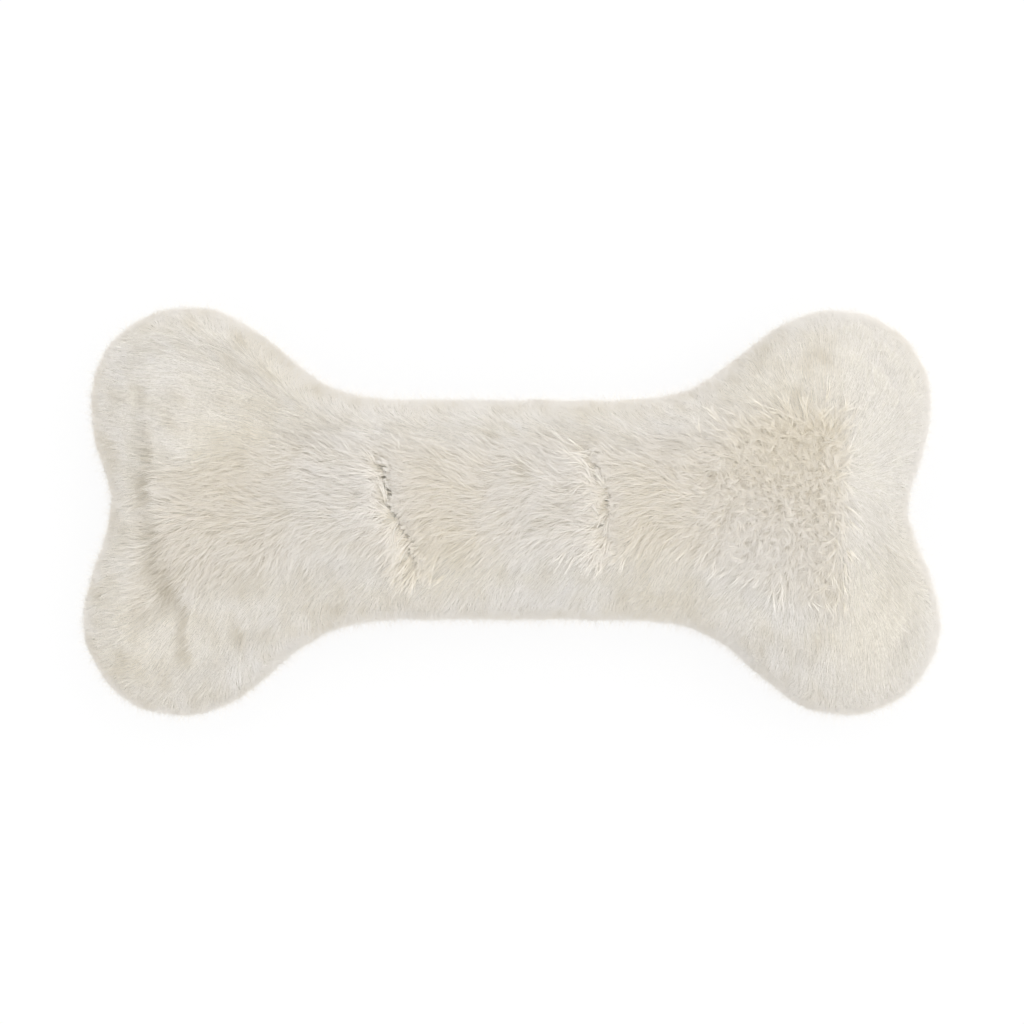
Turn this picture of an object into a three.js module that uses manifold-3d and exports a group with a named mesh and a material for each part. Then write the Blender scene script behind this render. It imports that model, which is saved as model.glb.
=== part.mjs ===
// A squeaky dog toy: a stuffed bone of long-pile plush with one squeaker in its shaft.
// Millimetres, +Z up. The toy lies on its back panel, with the origin on the floor under its middle.
import * as THREE from "three";
import { mergeVertices } from "three/addons/utils/BufferGeometryUtils.js";
import Module from "manifold-3d";

// Plan of the bone: four lobes and a straight shaft, which flow into each other
const LEFT_UPPER_LOBE_X = -113.5;
const LEFT_UPPER_LOBE_Y = 38.5;
const LEFT_UPPER_LOBE_RADIUS = 33.5;
const LEFT_LOWER_LOBE_X = -116;
const LEFT_LOWER_LOBE_Y = -37.5;
const LEFT_LOWER_LOBE_RADIUS = 33.5;
const RIGHT_UPPER_LOBE_X = 114.5;
const RIGHT_UPPER_LOBE_Y = 38;
const RIGHT_UPPER_LOBE_RADIUS = 33;
const RIGHT_LOWER_LOBE_X = 118;
const RIGHT_LOWER_LOBE_Y = -38.5;
const RIGHT_LOWER_LOBE_RADIUS = 32.5;
const SHAFT_HALF_WIDTH = 38.3;
const SHAFT_HALF_LENGTH = 100;
const SHAFT_CENTRE_Y = 1;
const LOBE_BLEND = 45.5;
const FLANK_BLEND = 37.5;

// Stuffed height on each side of the seam, and how far in from the outline it is reached
const FRONT_RISE = 33;
const BACK_DROP = 33.5;
const REST_FLAT_DEPTH = 0.5;
const SWELL_WIDTH = 36;

// Plush fabric and its seam
const PILE_LENGTH = 8;
const BACKING_THICKNESS = 1.5;
const SEAM_ALLOWANCE = 6;
const THREAD_DIAMETER = 0.8;
const THREAD_SETBACK = 1.4;
const CLOSING_LENGTH = 70;

// Two folds across the front of the shaft, where the pile parts
const FOLD_DEPTH = 4;
const FOLD_HALF_WIDTH = 6;
const FOLD_SIDE_MARGIN = 13;
const LEFT_FOLD_UPPER_X = -43;
const LEFT_FOLD_MIDDLE_X = -38;
const LEFT_FOLD_LOWER_X = -27;
const RIGHT_FOLD_UPPER_X = 26.5;
const RIGHT_FOLD_MIDDLE_X = 34;
const RIGHT_FOLD_LOWER_X = 33.5;

// Squeaker bulb, and the room that the stuffing leaves for it
const SQUEAKER_SIDE_ROOM = 1.8;
const SQUEAKER_END_ROOM = 18;
const CENTRE_FILL_THICKNESS = 11;
const BULB_WALL = 1.2;
const BULB_EDGE_RADIUS = 5;
const BULB_FOLD_DEPTH = 2.5;
const BULB_FOLD_HEIGHT = 7;
const NECK_LENGTH = 5;

// Reed insert in the bulb's neck
const SLEEVE_BORE = 8.4;
const SLEEVE_WALL = 1.5;
const SLEEVE_OVERHANG = 1.5;
const SLEEVE_LIP_WIDTH = 2;
const SLEEVE_LIP_THICKNESS = 1;
const TONGUE_THICKNESS = 0.3;
const TONGUE_WIDTH = 4.4;
const TONGUE_ROOT_LENGTH = 3;
const TONGUE_FREE_LENGTH = 7;
const BLOCK_LEAN_DEGREES = 4;
const AIR_CHANNEL_WIDTH = 2.4;
const AIR_CHANNEL_DEPTH = 1.6;
const AIR_CHANNEL_END_WALL = 1.5;

// Space between pieces that touch on the real toy, and round the soft stuffing
const CLEARANCE = 0.3;
const STUFFING_CLEARANCE = 0.5;

// How finely the forms are divided
const SHAFT_RAYS = 7;
const END_RAYS = 18;
const ROOT_CROWDING = 1.6;
const ROOT_SETBACK = 8.5;
const SWELL_STEPS = [0.03, 0.12, 0.3, 0.56, 0.84, 1];
const ROUND_SIDES = 24;
const THREAD_SIDES = 6;
const CLOSING_STEPS = 8;
const FOLD_STEPS = 6;
const ARC_STEPS = 3;
const BISECTIONS = 30;
const MARCH_STEP = 1;
const MERGE_DISTANCE = 1e-3;
const FAR = 1000;

// Sizes that follow from those above
const WALL = PILE_LENGTH + BACKING_THICKNESS;
const SEAM_HEIGHT = BACK_DROP - REST_FLAT_DEPTH;
const SEAM_FACE = CLEARANCE / 2;
const ALLOWANCE_TOP = SEAM_FACE + BACKING_THICKNESS;
const THREAD_INSET = WALL + THREAD_SETBACK;
const GROOVE_HALF = THREAD_DIAMETER / 2 + CLEARANCE;
const FILL_INSET = WALL + STUFFING_CLEARANCE;
const UP = Math.PI / 2;
const DOWN = -Math.PI / 2;

const LOBES = {
  left_upper: { x: LEFT_UPPER_LOBE_X, y: LEFT_UPPER_LOBE_Y, radius: LEFT_UPPER_LOBE_RADIUS },
  left_lower: { x: LEFT_LOWER_LOBE_X, y: LEFT_LOWER_LOBE_Y, radius: LEFT_LOWER_LOBE_RADIUS },
  right_upper: { x: RIGHT_UPPER_LOBE_X, y: RIGHT_UPPER_LOBE_Y, radius: RIGHT_UPPER_LOBE_RADIUS },
  right_lower: { x: RIGHT_LOWER_LOBE_X, y: RIGHT_LOWER_LOBE_Y, radius: RIGHT_LOWER_LOBE_RADIUS },
};

const fur = new THREE.MeshStandardMaterial({ color: 0xece4d6, roughness: 0.95, metalness: 0 });
const thread = new THREE.MeshStandardMaterial({ color: 0xe6dccb, roughness: 0.8, metalness: 0 });
const fibre = new THREE.MeshStandardMaterial({ color: 0xf4f4f2, roughness: 0.95, metalness: 0 });
const softPlastic = new THREE.MeshStandardMaterial({ color: 0xdfe6ea, roughness: 0.45, metalness: 0 });
const hardPlastic = new THREE.MeshStandardMaterial({ color: 0xf2f2ee, roughness: 0.35, metalness: 0 });
const reedFilm = new THREE.MeshStandardMaterial({ color: 0xd9b25c, roughness: 0.35, metalness: 0 });

const wasm = await Module();
wasm.setup();

// Plan outline

function smoothMin(a, b, blend) {
  const share = THREE.MathUtils.clamp(0.5 + (b - a) / (2 * blend), 0, 1);
  return THREE.MathUtils.lerp(b, a, share) - blend * share * (1 - share);
}

function lobePair(upper, lower, point) {
  const toUpper = Math.hypot(point.x - upper.x, point.y - upper.y) - upper.radius;
  const toLower = Math.hypot(point.x - lower.x, point.y - lower.y) - lower.radius;
  return smoothMin(toUpper, toLower, LOBE_BLEND);
}

// Below zero inside the bone's plan, and above zero outside it.
function planValue(point) {
  const left = lobePair(LOBES.left_upper, LOBES.left_lower, point);
  const right = lobePair(LOBES.right_upper, LOBES.right_lower, point);
  const pastEnd = Math.abs(point.x) - SHAFT_HALF_LENGTH;
  const pastSide = Math.abs(point.y - SHAFT_CENTRE_Y) - SHAFT_HALF_WIDTH;
  const outside = Math.hypot(Math.max(pastEnd, 0), Math.max(pastSide, 0));
  const shaft = outside + Math.min(Math.max(pastEnd, pastSide), 0);
  return smoothMin(shaft, Math.min(left, right), FLANK_BLEND);
}

// A ray runs from a root on the shaft's centre line out to the bone's edge.
function makeRay(rootX, angle) {
  const root = new THREE.Vector2(rootX, SHAFT_CENTRE_Y);
  const direction = new THREE.Vector2(Math.cos(angle), Math.sin(angle));
  const at = (reach) => root.clone().addScaledVector(direction, reach);
  let outer = MARCH_STEP;
  while (planValue(at(outer)) < 0) outer += MARCH_STEP;
  let inner = outer - MARCH_STEP;
  for (let step = 0; step < BISECTIONS; step += 1) {
    const middle = (inner + outer) / 2;
    if (planValue(at(middle)) < 0) inner = middle;
    else outer = middle;
  }
  return { root, edge: at(inner) };
}

// Roots from the middle to one end, crowding towards the end, where the outline turns.
function rootsTowards(endX) {
  return Array.from({ length: SHAFT_RAYS }, (_, i) => {
    const left = 1 - (i + 1) / SHAFT_RAYS;
    return endX * (1 - left ** ROOT_CROWDING);
  });
}

function fanAngles(from, to) {
  return Array.from({ length: END_RAYS - 1 }, (_, i) => from + ((to - from) * (i + 1)) / END_RAYS);
}

// Once round the bone, anticlockwise from above, starting at the lower left of the shaft.
const leftRootX = Math.max(LOBES.left_upper.x, LOBES.left_lower.x) + ROOT_SETBACK;
const rightRootX = Math.min(LOBES.right_upper.x, LOBES.right_lower.x) - ROOT_SETBACK;
const shaftRoots = [...rootsTowards(leftRootX).toReversed(), 0, ...rootsTowards(rightRootX)];
const rays = [
  ...shaftRoots.map((x) => makeRay(x, DOWN)),
  ...fanAngles(DOWN, UP).map((angle) => makeRay(rightRootX, angle)),
  ...shaftRoots.toReversed().map((x) => makeRay(x, UP)),
  ...fanAngles(UP, UP + Math.PI).map((angle) => makeRay(leftRootX, angle)),
];

// Distance from a point in the plan to the bone's edge.
function edgeDistance(point) {
  const gaps = rays.map((ray, i) => {
    const next = rays[(i + 1) % rays.length];
    const side = new THREE.Vector2().subVectors(next.edge, ray.edge);
    const share = new THREE.Vector2().subVectors(point, ray.edge).dot(side) / side.lengthSq();
    const nearest = ray.edge.clone().addScaledVector(side, THREE.MathUtils.clamp(share, 0, 1));
    return point.distanceTo(nearest);
  });
  return Math.min(...gaps);
}

// The point on a ray that lies a given distance inside the bone's edge.
function insetPoint(ray, distance) {
  let outer = 0;
  let inner = 1;
  for (let step = 0; step < BISECTIONS; step += 1) {
    const middle = (outer + inner) / 2;
    if (edgeDistance(ray.edge.clone().lerp(ray.root, middle)) < distance) outer = middle;
    else inner = middle;
  }
  return ray.edge.clone().lerp(ray.root, inner);
}

// Stuffed surfaces, as rings of points round the bone

// Height from the seam at a distance inside the edge, on a surface set in by the inset.
function swell(distance, inset, height) {
  const share = THREE.MathUtils.clamp((distance - inset) / (SWELL_WIDTH - inset), 0, 1);
  return (height - inset) * Math.sqrt(1 - (1 - share) ** 2);
}

function lift(point, z) {
  return new THREE.Vector3(point.x, point.y, z);
}

function levelRing(distance, z) {
  return rays.map((ray) => lift(insetPoint(ray, distance), z));
}

// The rings of one swelling side, from just inside its edge to the centre line.
function swellRings(inset, height, side, lowest = -FAR) {
  const edges = rays.map((ray) => insetPoint(ray, inset));
  return SWELL_STEPS.map((share) =>
    rays.map((ray, i) => {
      const point = edges[i].clone().lerp(ray.root, share);
      const z = side * swell(edgeDistance(point), inset, height);
      return lift(point, Math.max(z, lowest));
    }),
  );
}

// Joins rings of points into a surface, leaving out triangles that have shrunk to a line.
// Rings that run the other way to a neighbouring surface's take the other diagonal, to match it.
function ringSurface(rings, { endCaps = false, otherDiagonal = false } = {}) {
  const corners = [];
  const triangle = (a, b, c) => {
    const shrunk = [[a, b], [b, c], [c, a]].some(([p, q]) => p.distanceTo(q) < MERGE_DISTANCE);
    if (!shrunk) corners.push(a, b, c);
  };
  const count = rings[0].length;
  for (let r = 0; r + 1 < rings.length; r += 1) {
    for (let i = 0; i < count; i += 1) {
      const next = (i + 1) % count;
      const quad = [rings[r][i], rings[r][next], rings[r + 1][next], rings[r + 1][i]];
      if (otherDiagonal) quad.push(quad.shift());
      const [a, b, c, d] = quad;
      triangle(a, b, c);
      triangle(a, c, d);
    }
  }
  for (let i = 1; endCaps && i + 1 < count; i += 1) {
    triangle(rings[0][0], rings[0][i + 1], rings[0][i]);
    triangle(rings.at(-1)[0], rings.at(-1)[i], rings.at(-1)[i + 1]);
  }
  return mergeVertices(new THREE.BufferGeometry().setFromPoints(corners), MERGE_DISTANCE);
}

// Solids that are joined and cut

function toSolid(geometry) {
  const bare = geometry.clone();
  bare.deleteAttribute("normal");
  bare.deleteAttribute("uv");
  const merged = mergeVertices(bare, MERGE_DISTANCE);
  return new wasm.Manifold(
    new wasm.Mesh({
      numProp: 3,
      vertProperties: merged.getAttribute("position").array,
      triVerts: new Uint32Array(merged.index.array),
    }),
  );
}

function toGeometry(solid) {
  const mesh = solid.getMesh();
  return new THREE.BufferGeometry()
    .setAttribute("position", new THREE.BufferAttribute(mesh.vertProperties, 3))
    .setIndex(new THREE.BufferAttribute(mesh.triVerts, 1));
}

function boxSolid([x0, x1], [y0, y1], [z0, z1]) {
  const box = new THREE.BoxGeometry(x1 - x0, y1 - y0, z1 - z0);
  return toSolid(box.translate((x0 + x1) / 2, (y0 + y1) / 2, (z0 + z1) / 2));
}

function drumSolid(radius, z0, z1) {
  const drum = new THREE.CylinderGeometry(radius, radius, z1 - z0, ROUND_SIDES);
  return toSolid(drum.rotateX(UP).translate(0, SHAFT_CENTRE_Y, (z0 + z1) / 2));
}

// Turns a profile of radius and height about the squeaker's upright axis.
function turned(profile) {
  const points = profile.map(([radius, z]) => new THREE.Vector2(radius, z));
  const lathe = new THREE.LatheGeometry(points, ROUND_SIDES);
  return lathe.rotateX(UP).translate(0, SHAFT_CENTRE_Y, 0);
}

// Plush panels: pile and backing as one shell, with the seam allowance turned inwards

function seamRings(side) {
  const rim = [
    [WALL, ALLOWANCE_TOP],
    [WALL + SEAM_ALLOWANCE, ALLOWANCE_TOP],
    [WALL + SEAM_ALLOWANCE, SEAM_FACE],
    [THREAD_INSET + GROOVE_HALF, SEAM_FACE],
    [THREAD_INSET + GROOVE_HALF, GROOVE_HALF],
    [THREAD_INSET - GROOVE_HALF, GROOVE_HALF],
    [THREAD_INSET - GROOVE_HALF, SEAM_FACE],
    [0, SEAM_FACE],
  ];
  return rim.map(([distance, z]) => levelRing(distance, side * z));
}

// The groove of a fold, from the shaft's upper side to its lower, deepest on the centre line.
function foldGroove(upperX, middleX, lowerX) {
  const reach = SHAFT_HALF_WIDTH - FOLD_SIDE_MARGIN;
  const floor = Array.from({ length: FOLD_STEPS + 1 }, (_, i) => {
    const side = 1 - (2 * i) / FOLD_STEPS;
    const x = THREE.MathUtils.lerp(middleX, side > 0 ? upperX : lowerX, Math.abs(side));
    const point = new THREE.Vector2(x, SHAFT_CENTRE_Y + reach * side);
    const depth = FOLD_DEPTH * (1 - side ** 2) - CLEARANCE;
    return lift(point, swell(edgeDistance(point), 0, FRONT_RISE) - depth);
  });
  const slope = new THREE.Vector3(FOLD_HALF_WIDTH, 0, FOLD_DEPTH).multiplyScalar(2);
  const otherSlope = slope.clone().setX(-slope.x);
  const sections = floor.map((low) => [low.clone().add(slope), low.clone().add(otherSlope), low]);
  return toSolid(ringSurface(sections, { endCaps: true }));
}

function frontPanel() {
  const inner = swellRings(WALL, FRONT_RISE, 1).toReversed();
  const shell = ringSurface([...inner, ...seamRings(1), ...swellRings(0, FRONT_RISE, 1)]);
  const leftFold = foldGroove(LEFT_FOLD_UPPER_X, LEFT_FOLD_MIDDLE_X, LEFT_FOLD_LOWER_X);
  const rightFold = foldGroove(RIGHT_FOLD_UPPER_X, RIGHT_FOLD_MIDDLE_X, RIGHT_FOLD_LOWER_X);
  return toGeometry(toSolid(shell).subtract(leftFold).subtract(rightFold));
}

function backPanel() {
  const inner = swellRings(WALL, BACK_DROP, -1).toReversed();
  const outer = swellRings(0, BACK_DROP, -1, -SEAM_HEIGHT);
  return ringSurface([...inner, ...seamRings(-1), ...outer].toReversed());
}

// Seam thread: a round strand in the groove between the two allowances

function threadAlong(path) {
  const sections = path.map((ray) =>
    Array.from({ length: THREAD_SIDES }, (_, i) => {
      const turn = (2 * Math.PI * i) / THREAD_SIDES;
      const inset = THREAD_INSET + (THREAD_DIAMETER / 2) * Math.cos(turn);
      return lift(insetPoint(ray, inset), (THREAD_DIAMETER / 2) * Math.sin(turn));
    }),
  );
  return ringSurface(sections, { endCaps: true });
}

function perimeterThread() {
  const gapEnd = CLOSING_LENGTH / 2 + CLEARANCE;
  const isInGap = (ray) => ray.edge.y < SHAFT_CENTRE_Y && Math.abs(ray.root.x) <= gapEnd;
  const first = rays.findLastIndex(isInGap) + 1;
  const round = [...rays.slice(first), ...rays.slice(0, first)].filter((ray) => !isInGap(ray));
  return threadAlong([makeRay(gapEnd, DOWN), ...round, makeRay(-gapEnd, DOWN)]);
}

function closingThread() {
  const path = Array.from({ length: CLOSING_STEPS + 1 }, (_, i) => {
    const x = CLOSING_LENGTH * (i / CLOSING_STEPS - 0.5);
    return makeRay(x, DOWN);
  });
  return threadAlong(path);
}

// Squeaker bulb

const bulbRadius = SHAFT_HALF_WIDTH - WALL - SEAM_ALLOWANCE - SQUEAKER_SIDE_ROOM;
const bulbTop = swell(SHAFT_HALF_WIDTH, FILL_INSET, FRONT_RISE) - CENTRE_FILL_THICKNESS - CLEARANCE;
const bulbBase = CENTRE_FILL_THICKNESS + CLEARANCE - swell(SHAFT_HALF_WIDTH, FILL_INSET, BACK_DROP);
const sleeveRadius = SLEEVE_BORE / 2 + SLEEVE_WALL;
const neckRadius = sleeveRadius + CLEARANCE;

// One wall of the bulb from crown to base, set in by the inset, with the fold at half height.
function bulbWall(inset) {
  const radius = bulbRadius - inset;
  const top = bulbTop - inset;
  const base = bulbBase + inset;
  const bend = BULB_EDGE_RADIUS - inset;
  const middle = (bulbTop + bulbBase) / 2;
  const arc = (centreZ, from) =>
    Array.from({ length: ARC_STEPS + 1 }, (_, i) => {
      const angle = from - (UP * i) / ARC_STEPS;
      return [radius - bend + bend * Math.cos(angle), centreZ + bend * Math.sin(angle)];
    });
  return [
    [0, top],
    ...arc(top - bend, UP),
    [radius, middle + BULB_FOLD_HEIGHT / 2],
    [radius - BULB_FOLD_DEPTH, middle],
    [radius, middle - BULB_FOLD_HEIGHT / 2],
    ...arc(base + bend, 0),
  ];
}

function squeakerBulb() {
  const neck = [
    [neckRadius, bulbBase],
    [neckRadius, bulbBase + NECK_LENGTH],
    [neckRadius + BULB_WALL, bulbBase + NECK_LENGTH],
    [neckRadius + BULB_WALL, bulbBase + BULB_WALL],
  ];
  return turned([...bulbWall(0), ...neck, ...bulbWall(BULB_WALL).toReversed()].toReversed());
}

// Reed insert

const boreRadius = SLEEVE_BORE / 2;
const insertRadius = boreRadius - CLEARANCE;
const lipRadius = sleeveRadius + SLEEVE_LIP_WIDTH;
const lipTop = bulbBase - CLEARANCE;
const lipBase = lipTop - SLEEVE_LIP_THICKNESS;
const reedPivot = bulbBase + TONGUE_ROOT_LENGTH;
const reedTip = reedPivot + TONGUE_FREE_LENGTH;
const clampFace = TONGUE_THICKNESS / 2 + CLEARANCE;

function reedSleeve() {
  const sleeveTop = reedTip + SLEEVE_OVERHANG;
  return turned([
    [boreRadius, lipBase],
    [lipRadius, lipBase],
    [lipRadius, lipTop],
    [sleeveRadius, lipTop],
    [sleeveRadius, sleeveTop],
    [boreRadius, sleeveTop],
    [boreRadius, lipBase],
  ]);
}

// Half-round, with a face that leans away from the tongue above its clamp, and an air channel.
function reedBlock() {
  const lean = TONGUE_FREE_LENGTH * Math.tan(THREE.MathUtils.degToRad(BLOCK_LEAN_DEGREES));
  const side = new THREE.Shape([
    new THREE.Vector2(-SLEEVE_BORE, bulbBase),
    new THREE.Vector2(-clampFace, bulbBase),
    new THREE.Vector2(-clampFace, reedPivot),
    new THREE.Vector2(-clampFace - lean, reedTip),
    new THREE.Vector2(-SLEEVE_BORE, reedTip),
  ]);
  const slab = new THREE.ExtrudeGeometry(side, { depth: 2 * SLEEVE_BORE, bevelEnabled: false });
  slab.rotateX(UP).translate(0, SHAFT_CENTRE_Y + SLEEVE_BORE, 0);
  const channel = boxSolid(
    [-clampFace - AIR_CHANNEL_DEPTH, 0],
    [SHAFT_CENTRE_Y - AIR_CHANNEL_WIDTH / 2, SHAFT_CENTRE_Y + AIR_CHANNEL_WIDTH / 2],
    [lipBase, reedTip - AIR_CHANNEL_END_WALL],
  );
  const round = drumSolid(insertRadius, bulbBase, reedTip);
  return toGeometry(round.intersect(toSolid(slab)).subtract(channel));
}

function reedWedge() {
  const half = boxSolid([clampFace, FAR], [-FAR, FAR], [-FAR, FAR]);
  return toGeometry(drumSolid(insertRadius, bulbBase, reedPivot).intersect(half));
}

function reedTongue() {
  const length = TONGUE_ROOT_LENGTH + TONGUE_FREE_LENGTH;
  const strip = new THREE.BoxGeometry(TONGUE_THICKNESS, TONGUE_WIDTH, length);
  return strip.translate(0, SHAFT_CENTRE_Y, bulbBase + length / 2);
}

// Stuffing: one swelling mass inside the panels, divided where the handfuls meet

function stuffingMass() {
  const back = swellRings(FILL_INSET, BACK_DROP, -1).toReversed();
  const front = swellRings(FILL_INSET, FRONT_RISE, 1);
  const rings = [...back, levelRing(FILL_INSET, 0), ...front];
  return toSolid(ringSurface(rings, { otherDiagonal: true }));
}

// The flat space round the seam that the two allowances take up.
function allowanceRoom() {
  const reach = ALLOWANCE_TOP + CLEARANCE;
  const tips = rays.map((ray) => insetPoint(ray, WALL + SEAM_ALLOWANCE + CLEARANCE));
  const core = new THREE.ExtrudeGeometry(new THREE.Shape(tips), { depth: FAR, bevelEnabled: false });
  const slab = boxSolid([-FAR, FAR], [-FAR, FAR], [-reach, reach]);
  return slab.subtract(toSolid(core.translate(0, 0, -FAR / 2)));
}

const mass = stuffingMass();
const cutMass = mass.subtract(allowanceRoom());
const bayEnd = bulbRadius + SQUEAKER_END_ROOM;
const leftLobeStart = Math.min(
  LOBES.left_upper.x + LOBES.left_upper.radius,
  LOBES.left_lower.x + LOBES.left_lower.radius,
);
const rightLobeStart = Math.max(
  LOBES.right_upper.x - LOBES.right_upper.radius,
  LOBES.right_lower.x - LOBES.right_lower.radius,
);
const gap = CLEARANCE / 2;

function lobeFill(isLeft, isUpper) {
  const x = isLeft ? [-FAR, leftLobeStart - gap] : [rightLobeStart + gap, FAR];
  const y = isUpper ? [SHAFT_CENTRE_Y + gap, FAR] : [-FAR, SHAFT_CENTRE_Y - gap];
  return toGeometry(cutMass.intersect(boxSolid(x, y, [-FAR, FAR])));
}

function shaftFill(isLeft) {
  const x = isLeft ? [leftLobeStart + gap, -bayEnd - gap] : [bayEnd + gap, rightLobeStart - gap];
  return toGeometry(cutMass.intersect(boxSolid(x, [-FAR, FAR], [-FAR, FAR])));
}

function centreFill(isFront) {
  const start = ALLOWANCE_TOP + CLEARANCE;
  const z = isFront ? [start, FAR] : [-FAR, -start];
  const bay = boxSolid([gap - bayEnd, bayEnd - gap], [-FAR, FAR], z);
  const bulbRoom = drumSolid(bulbRadius + CLEARANCE, bulbBase - CLEARANCE, bulbTop + CLEARANCE);
  const lipRoom = drumSolid(lipRadius + CLEARANCE, lipBase - CLEARANCE, bulbBase);
  return toGeometry(mass.intersect(bay).subtract(bulbRoom).subtract(lipRoom));
}

// The toy, with its seam at its real height and its plan centred on the origin

const toy = new THREE.Group();
const plan = new THREE.Box2().setFromPoints(rays.map((ray) => ray.edge));
const planCentre = plan.getCenter(new THREE.Vector2());
toy.position.set(-planCentre.x, -planCentre.y, SEAM_HEIGHT);

function addPiece(name, geometry, material) {
  const mesh = new THREE.Mesh(geometry, material);
  mesh.name = name;
  toy.add(mesh);
}

addPiece("front_fur_panel", frontPanel(), fur);
addPiece("back_fur_panel", backPanel(), fur);
addPiece("perimeter_seam_thread", perimeterThread(), thread);
addPiece("closing_seam_thread", closingThread(), thread);
addPiece("left_upper_lobe_fill", lobeFill(true, true), fibre);
addPiece("left_lower_lobe_fill", lobeFill(true, false), fibre);
addPiece("right_upper_lobe_fill", lobeFill(false, true), fibre);
addPiece("right_lower_lobe_fill", lobeFill(false, false), fibre);
addPiece("left_shaft_fill", shaftFill(true), fibre);
addPiece("right_shaft_fill", shaftFill(false), fibre);
addPiece("front_centre_fill", centreFill(true), fibre);
addPiece("back_centre_fill", centreFill(false), fibre);
addPiece("squeaker_bulb", squeakerBulb(), softPlastic);
addPiece("reed_sleeve", reedSleeve(), hardPlastic);
addPiece("reed_block", reedBlock(), hardPlastic);
addPiece("reed_wedge", reedWedge(), hardPlastic);
addPiece("reed_tongue", reedTongue(), reedFilm);

export default toy;
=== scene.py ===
import math

import bpy
import numpy as np
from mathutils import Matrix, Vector
from mathutils.bvhtree import BVHTree


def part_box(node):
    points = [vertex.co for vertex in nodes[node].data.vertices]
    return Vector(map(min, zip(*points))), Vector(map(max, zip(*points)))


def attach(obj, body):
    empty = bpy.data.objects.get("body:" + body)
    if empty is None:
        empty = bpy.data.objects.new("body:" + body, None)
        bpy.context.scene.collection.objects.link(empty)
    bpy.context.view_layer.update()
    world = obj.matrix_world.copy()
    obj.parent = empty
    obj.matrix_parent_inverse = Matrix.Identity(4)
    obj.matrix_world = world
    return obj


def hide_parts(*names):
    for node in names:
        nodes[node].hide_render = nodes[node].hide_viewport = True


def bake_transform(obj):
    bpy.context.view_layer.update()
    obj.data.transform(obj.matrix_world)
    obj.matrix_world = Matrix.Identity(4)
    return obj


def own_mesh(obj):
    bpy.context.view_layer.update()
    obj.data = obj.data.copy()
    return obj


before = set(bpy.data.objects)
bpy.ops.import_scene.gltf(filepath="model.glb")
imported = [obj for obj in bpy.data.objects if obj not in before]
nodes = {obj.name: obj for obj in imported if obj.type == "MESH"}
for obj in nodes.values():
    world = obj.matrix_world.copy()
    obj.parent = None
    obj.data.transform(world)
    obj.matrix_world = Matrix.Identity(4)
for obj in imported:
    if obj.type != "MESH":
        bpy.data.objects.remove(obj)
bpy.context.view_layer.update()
scene = bpy.context.scene
bpy.ops.object.select_all(action="DESELECT")

MM = 0.001

# The seam's height, what the photograph spans at the seam, and the lens it is seen through
PHOTO_SPAN = 357.4 * MM
SEAM_HEIGHT = 33 * MM
LENS = 100
SENSOR = 36

# Studio light
AMBIENT = 0.94
LAMP_PLACE = (0.26, 0.22, 1.4)
LAMP_SIZE = 1.2
LAMP_POWER = 9.6
FLOOR_GLOW = 0.9

# The stuffed plush under the long hairs, with the depths of the pile over it in millimetres
VOXEL = 5 * MM
SKIN_SMOOTHING = 6
PRESSURE = 4
SWELL_FRAMES = 20
EVENING_ROUNDS = 24
TUCK = 6.2 * MM
SWELL_CAP = 5 * MM
SIDE_CAP = 1.2 * MM
PLUSH_THICKNESS = 3 * MM
PILE_DEPTH = 1.5
RUFFLE_DEPTH = 1.0
RIM_DEPTH = 1.1
FIT_SLACK = 0.4
FIT_ROUNDS = 3
FOLD_DIP = 0.8
BREAK_DEPTH = 3

# How many hairs, and their measures in millimetres
GROUND_HAIRS = 176000
GROUND_LENGTH = 6.5
GROUND_WIDTH = 0.115
FRONT_TUFTS = 27800
TUFT_HAIRS = 5
TUFT_RADIUS = 0.42
TUFT_LENGTH = 9
TUFT_WIDTH = 0.115
FRONT_LOCKS = 1400
LOCK_HAIRS = 9
LOCK_RADIUS = 0.9
LOCK_LENGTH = 9.5
LOCK_WIDTH = 0.11
FRINGE_HAIRS = 26000
FRINGE_LENGTH = 7.2
FRINGE_WIDTH = 0.04
BACK_HAIRS = 54000
BACK_LENGTH = 9
BACK_WIDTH = 0.103
BACK_TUFTS = 4600
BACK_TUFT_RADIUS = 1.1
BACK_TUFT_LENGTH = 8
BACK_TUFT_WIDTH = 0.08
ROOT_DEPTH = 0.8
LONE_DEPTH = 0.12
LOWEST_HAIR = 0.3
FRONT_LOWEST_ROOT = 32
BACK_HIGHEST_ROOT = 34

# The whorl that the nap starts from on the front, in millimetres
WHORL = np.array([107.7, 11.2])

# Lines on the front where the pile is broken: points in millimetres from the top down, and how open each is
BREAKS = [
    ([(-44, 19), (-42, 11), (-41, 2), (-35.5, -4), (-34.5, -13), (-28.5, -23)], 1.0),
    ([(26.5, 23), (31.5, 9.5), (34, 3), (32.5, -5), (33, -17)], 0.9),
]

# A soft fold down the left end, which dips the plush and has its shadow painted on the hairs, and small
# spots of painted shade where the pile looks parted
FOLD = [
    (-126, 46), (-127.5, 25), (-127, 14), (-123, -2), (-122, -13), (-118, -22), (-113.5, -37), (-113, -50),
]
PARTING_SHADE_SPOTS = np.array([(7, 12.8), (-3.7, 24.5), (11.9, -4.2), (70.7, 12.6), (-113.6, -23)])

# The upper and lower edges of the ruffled part of the front, at these places along the bone
RUFFLE_PLACES = [-125, -63, 60, 100]
RUFFLE_TOP = [14, 27, 27, 32]
RUFFLE_FOOT = [-34, -13, -13, -30]

# Wide places of painted shade, where the pile's hairs are coloured a little darker: their middles, how wide
# they are and how dark
PAINTED_SHADE_PLACES = [((-92, -12), 42, 0.16), ((92, 44), 26, 0.14)]

rng = np.random.default_rng(7)


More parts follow.
